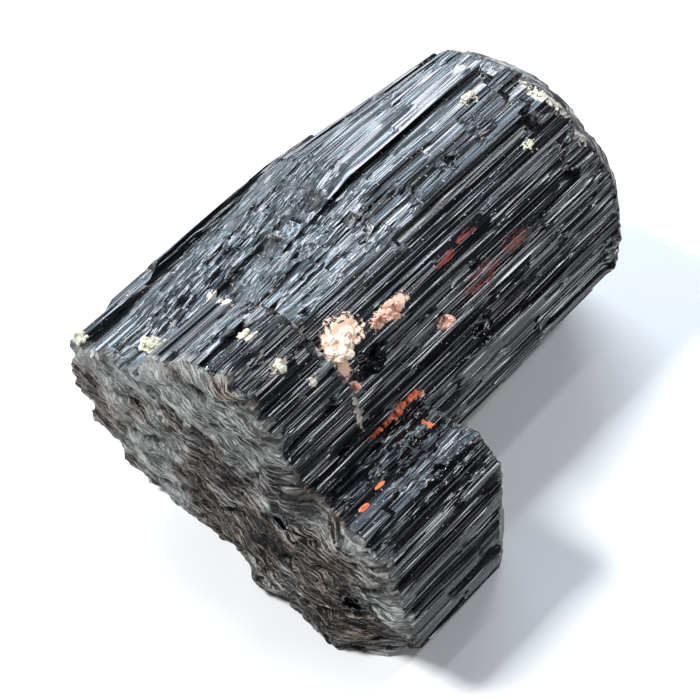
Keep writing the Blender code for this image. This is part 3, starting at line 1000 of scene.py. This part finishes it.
@dataclass
class CrystalGroup:
    """The tourmaline: the main, front and side crystals, joined and broken."""

    main: StriatedCrystal = field(default_factory=main_crystal)
    front: StriatedCrystal = field(default_factory=front_crystal)
    side: StriatedCrystal = field(default_factory=side_crystal)
    base: Fracture = Fracture(base_break, -9.0, (-28.0, -4.0), (28.0, 35.0), 1, 0.28)
    far: Fracture = Fracture(far_break, 9.0, (-16.0, -4.0), (28.0, 35.0), 4, 0.4)
    cliff: Fracture = Fracture(front_break, 14.0, (-14.0, 8.0), (16.0, 35.0), 3, 0.4)
    side_end: Fracture = Fracture(side_break, 18.0, (-28.0, -4.0), (2.0, 24.0), 6, 0.4)
    pits: tuple = (
        Pit((-12.9, -6.5, 25.3), (2.8, 1.9, 1.8)), Pit((2.2, -8.9, 19.3), (1.6, 1.0, 1.4)),
        Pit((11.4, 3.1, 30.3), (1.5, 0.8, 0.9)),
        Pit((-15.8, -17.1, 19.1), (1.3, 0.8, 0.8)), Pit((-27.6, -6.5, 13.5), (0.8, 1.6, 1.1)),
        Pit((-28.4, -16.5, 8.5), (0.7, 1.5, 1.1)), Pit((-14.2, -12.4, 18.8), (1.4, 1.3, 0.7)),
    )

    def build(self, material: bpy.types.Material) -> bpy.types.Object:
        """Model and dress the group.

        Args:
            material: The tourmaline's material.

        Returns:
            The finished piece.
        """
        group = self.main.build()
        for vert in group.data.vertices:
            along = max(0.0, vert.co.x - TAPER_FROM_X)
            vert.co.y -= TAPER * along * max(0.0, vert.co.y - TAPER_FROM_Y)
            vert.co.z -= fall(*vert.co)
        front = self.front.build()
        boolean(front, self.cliff.block(), "DIFFERENCE")
        side = self.side.build()
        boolean(side, self.side_end.block(), "DIFFERENCE")
        boolean(group, front, "UNION")
        boolean(group, side, "UNION")
        boolean(group, self.base.block(), "DIFFERENCE")
        boolean(group, self.far.block(), "DIFFERENCE")
        for pit in self.pits:
            boolean(group, pit.cutter(), "DIFFERENCE")
        bpy.ops.mesh.primitive_cube_add(size=80.0, location=(0.0, 0.0, -40.0))
        boolean(group, bpy.context.object, "DIFFERENCE")
        group.name = "crystal_group"
        self.keep_inside(group)
        self.mark_breaks(group)
        return dress(group, material, ["tourmaline"])

    def keep_inside(self, group: bpy.types.Object) -> None:
        """Trim the few tips that pass the model's box back to it.

        Args:
            group: The joined crystals, in millimetres.
        """
        low, high = (Vector(corner) / MM for corner in CAD_BOX)
        for vert in group.data.vertices:
            vert.co = [min(max(value, start), end) for value, start, end in zip(vert.co, low, high)]

    def mark_breaks(self, group: bpy.types.Object) -> None:
        """Store where the surface is broken, how near the base's upper edge it is for the painted highlight
        there, and where it is smooth as a mirror.

        Args:
            group: The joined crystals, in millimetres.
        """
        mesh = group.data
        marks = mesh.attributes.new("broken", "FLOAT", "POINT")
        for vert, mark in zip(mesh.vertices, marks.data):
            x, y, z = vert.co
            near = min(abs(x - self.base.surface(y, z)), abs(x - self.far.surface(y, z)))
            facing = min(1.0, max(0.0, (abs(vert.normal.x) - 0.25) / 0.3))
            beside = CLIFF_SIDES[0] < y < CLIFF_SIDES[1] and z > CLIFF_FOOT_Z
            on_front = beside and abs(x - self.cliff.surface(y, z)) < ON_CLIFF
            mark.value = 1.0 if near < ON_BREAK or on_front else min(facing, SMALL_BREAK)
            if any(pit.holds(vert.co) for pit in self.pits):
                mark.value = 0.0
        # Nearness to the base's upper edge, which the material paints as a highlight band.
        rim_highlights = mesh.attributes.new("rim_highlight", "FLOAT", "POINT")
        for vert, mark in zip(mesh.vertices, rim_highlights.data):
            x, y, z = vert.co
            mark.value = 1.0 - rim_distance(y, z) / RIM_GLOW if x < RIM_END_X else 0.0
        flats = mesh.attributes.new("flat", "FLOAT", "POINT")
        for vert, mark in zip(mesh.vertices, flats.data):
            x, y, z = vert.co
            first, last, start_x, end_x = MIRROR_FLATS
            mark.value = float(first < y < last and z > MIRROR_FLATS_Z and start_x < x < end_x)


@dataclass
class MineralGrain:
    """A crumbly grain that takes the place of its CAD node: lumps fused and roughened."""

    node: str
    slot: Slot
    lumps: int
    seed: int
    path: tuple = ()
    crumble: float = 0.3

    def place(self, share: float, centre: Vector) -> Vector:
        """Where on the grain's path a lump sits.

        Args:
            share: How far along the path it is.
            centre: The grain's centre, for a grain that has no path.

        Returns:
            The lump's place.
        """
        if not self.path:
            return centre
        leg = min(len(self.path) - 2, int(share * (len(self.path) - 1)))
        start, end = Vector(self.path[leg]), Vector(self.path[leg + 1])
        return start + (end - start) * (share * (len(self.path) - 1) - leg)

    def build(self, material: bpy.types.Material) -> bpy.types.Object:
        """Model the grain in its node's box.

        Args:
            material: The grain's material.

        Returns:
            The finished piece.
        """
        rng = random.Random(self.seed)
        low, high = (Vector(corner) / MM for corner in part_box(self.node))
        centre, half = (low + high) / 2, (high - low) / 2
        bpy.ops.object.select_all(action="DESELECT")
        lumps = []
        for i in range(self.lumps):
            spread = 0.0 if self.lumps == 1 else 0.5
            away = Vector([rng.uniform(-spread, spread) for _ in range(3)])
            if self.path:
                half = Vector(CRUST_LUMP)
            middle = self.place(i / max(1, self.lumps - 1), centre)
            place = middle + Vector([a * h for a, h in zip(away, half)])
            size = 1.0 if self.lumps == 1 else rng.uniform(*LUMP_SIZES)
            bpy.ops.mesh.primitive_ico_sphere_add(subdivisions=3, radius=1.0)
            lump = bpy.context.object
            turn = Matrix.Rotation(rng.uniform(-0.4, 0.4), 3, "Z")
            sides = [rng.uniform(0.7, 1.3) for _ in range(3)]
            for vert in lump.data.vertices:
                vert.co = turn @ Vector([a * h * size * s for a, h, s in zip(vert.co, half, sides)]) + place
            lumps.append(lump)
        for lump in lumps:
            lump.select_set(True)
        bpy.context.view_layer.objects.active = lumps[0]
        if len(lumps) > 1:
            bpy.ops.object.join()
        grain = only(bpy.context.object)
        apply_modifier(grain, "REMESH", mode="VOXEL", voxel_size=max(half) / VOXELS)
        for vert, normal in [(v, v.normal.copy()) for v in grain.data.vertices]:
            facet = noise.cell(vert.co) - 0.5
            rough = noise.fractal(vert.co * 1.4, 0.8, 2.1, 4)
            vert.co += normal * min(half) * self.crumble * (rough + 1.1 * facet)
        grain.name = self.node + "_piece"
        return dress(grain, material, [self.node])


def dress(
    obj: bpy.types.Object, material: bpy.types.Material, nodes: list[str]
) -> bpy.types.Object:
    """Scale a piece to metres, give it its material and set it on the frame.

    Args:
        obj: The piece, in millimetres.
        material: Its material.
        nodes: The CAD nodes that it stands for.

    Returns:
        The piece.
    """
    obj.data.transform(Matrix.Scale(MM, 4))
    obj.data.materials.clear()
    obj.data.materials.append(material)
    only(obj)
    bpy.ops.object.shade_smooth_by_angle(angle=SMOOTH_ANGLE)
    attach(obj, "root")
    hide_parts(*nodes)
    LOG.info("%s: %d faces", obj.name, len(obj.data.polygons))
    return obj


BLUE = (0.7, 0.86, 1.0)
LILAC = (0.86, 0.9, 1.0)
PALE = (0.9, 0.93, 1.0)

# Strip lights: the angle from +Y up, watts, colour and width in metres
STRIPS = (
    (18, 0.8, BLUE, 0.04), (40, 1.9, LILAC, 0.08), (64, 0.6, BLUE, 0.03), (84, 0.5, PALE, 0.03),
    (112, 0.9, PALE, 0.03), (152, 1.0, PALE, 0.03), (30, 1.8, BLUE, 0.7),
)


@dataclass(frozen=True)
class Studio:
    """The pale floor, the soft lights and the camera, in metres and watts."""

    floor_colour: tuple = (0.9, 0.9, 0.9, 1.0)
    floor_drop: float = 0.00003
    strip_ahead: float = 0.494
    strip_aside: float = 0.87
    strip_distance: float = 0.6
    strip_length: float = 0.5
    fill_place: tuple = (-0.22, 0.3, 0.48)
    fill_side: float = 0.14
    fill_power: float = 4.2
    fill_colour: tuple = (0.96, 0.98, 1.0)
    sky: tuple = (0.95, 0.97, 1.0, 1.0)
    sky_strength: float = 0.09
    middle: tuple = (0.0, 0.0, 0.012)
    sensor: float = 36.0

    def build(self) -> None:
        """Set the stage."""
        bpy.ops.object.select_all(action="DESELECT")
        bpy.ops.mesh.primitive_plane_add(size=3.0, location=(0.0, 0.0, -self.floor_drop))
        floor = bpy.context.object
        floor.name = "floor"
        bpy.ops.object.transform_apply(location=True)
        graph = Graph("pale_floor")
        graph.shader.inputs["Base Color"].default_value = self.floor_colour
        graph.shader.inputs["Roughness"].default_value = 0.9
        graph.shader.inputs["Specular IOR Level"].default_value = 0.1
        floor.data.materials.append(graph.material)
        for angle, power, colour, width in STRIPS:
            turn = math.radians(angle)
            aside = (self.strip_aside * math.cos(turn), self.strip_aside * math.sin(turn))
            place = Vector((self.strip_ahead, *aside)) * self.strip_distance
            self.light(f"strip_{angle}", place, (self.strip_length, width), power, colour)
        fill_size = (self.fill_side, self.fill_side)
        self.light("fill", self.fill_place, fill_size, self.fill_power, self.fill_colour)
        world = bpy.data.worlds.new("studio")
        world.use_nodes = True
        world.node_tree.nodes["Background"].inputs["Color"].default_value = self.sky
        world.node_tree.nodes["Background"].inputs["Strength"].default_value = self.sky_strength
        bpy.context.scene.world = world
        bpy.context.scene.view_settings.view_transform = "Standard"
        self.camera()

    def light(self, name: str, place: tuple, size: tuple, power: float, colour: tuple) -> None:
        """Add an area light that faces the crystal.

        Args:
            name: The light's name.
            place: Where it hangs, in metres.
            size: Its width and height in metres.
            power: Its power in watts.
            colour: Its colour.
        """
        data = bpy.data.lights.new(name, "AREA")
        data.shape = "RECTANGLE"
        data.size, data.size_y = size
        data.energy = power
        data.color = colour
        lamp = bpy.data.objects.new(name, data)
        bpy.context.scene.collection.objects.link(lamp)
        lamp.location = place
        back = (Vector(place) - Vector(self.middle)).normalized()
        long = (Vector((1.0, 0.0, 0.0)) - back * back.x).normalized()
        lamp.rotation_euler = Matrix((long, back.cross(long), back)).transposed().to_euler()

    def camera(self) -> None:
        """Place the camera at the photograph's view."""
        ahead = Vector((
            math.cos(ELEVATION) * math.cos(HEADING),
            math.cos(ELEVATION) * math.sin(HEADING),
            -math.sin(ELEVATION),
        ))
        data = bpy.data.cameras.new("camera")
        data.lens = LENS
        data.sensor_width = self.sensor
        data.clip_start = 0.01
        camera = bpy.data.objects.new("camera", data)
        bpy.context.scene.collection.objects.link(camera)
        camera.location = (TARGET - ahead * CAMERA_DISTANCE) * MM
        camera.rotation_euler = ahead.to_track_quat("-Z", "Y").to_euler()
        bpy.context.scene.camera = camera


CRACK = (
    (-17.2, -8.9, 19.0), (-14.4, -9.0, 19.3), (-13.2, -9.0, 18.9), (-11.8, -9.0, 19.2), (-8.8, -9.0, 18.9),
)
GRAINS = (
    MineralGrain("feldspar_pocket_mass", Slot.WHITE, 9, 1, crumble=0.2),
    MineralGrain("feldspar_peach_ridge", Slot.PEACH, 12, 2, crumble=0.4),
    MineralGrain("feldspar_cliff_foot", Slot.PEACH, 4, 3),
    MineralGrain("feldspar_right_slope", Slot.PEACH, 5, 4),
    MineralGrain("feldspar_far_top", Slot.CREAM, 8, 5),
    MineralGrain("feldspar_far_groove", Slot.CREAM, 8, 6),
    MineralGrain("feldspar_near_left", Slot.CREAM, 8, 7),
    MineralGrain("feldspar_left_corner", Slot.CREAM, 7, 8),
    MineralGrain("feldspar_front_shoulder", Slot.CREAM, 5, 9),
    MineralGrain("feldspar_front_ridge", Slot.CREAM, 6, 10),
    MineralGrain("iron_crust_crack", Slot.IRON, 30, 11, CRACK),
    MineralGrain("iron_crust_side_spot", Slot.IRON, 5, 12),
    MineralGrain("quartz_base_grain", Slot.QUARTZ, 2, 13),
)


def main() -> None:
    """Build the pieces and the studio."""
    logging.basicConfig(level=logging.INFO, format="%(name)s: %(message)s")
    Studio().build()
    CrystalGroup().build(TourmalineFinish().material())
    materials = {finish.slot: finish.material() for finish in FINISHES}
    for grain in GRAINS:
        grain.build(materials[grain.slot])
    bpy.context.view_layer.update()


if __name__ == "__main__":
    main()
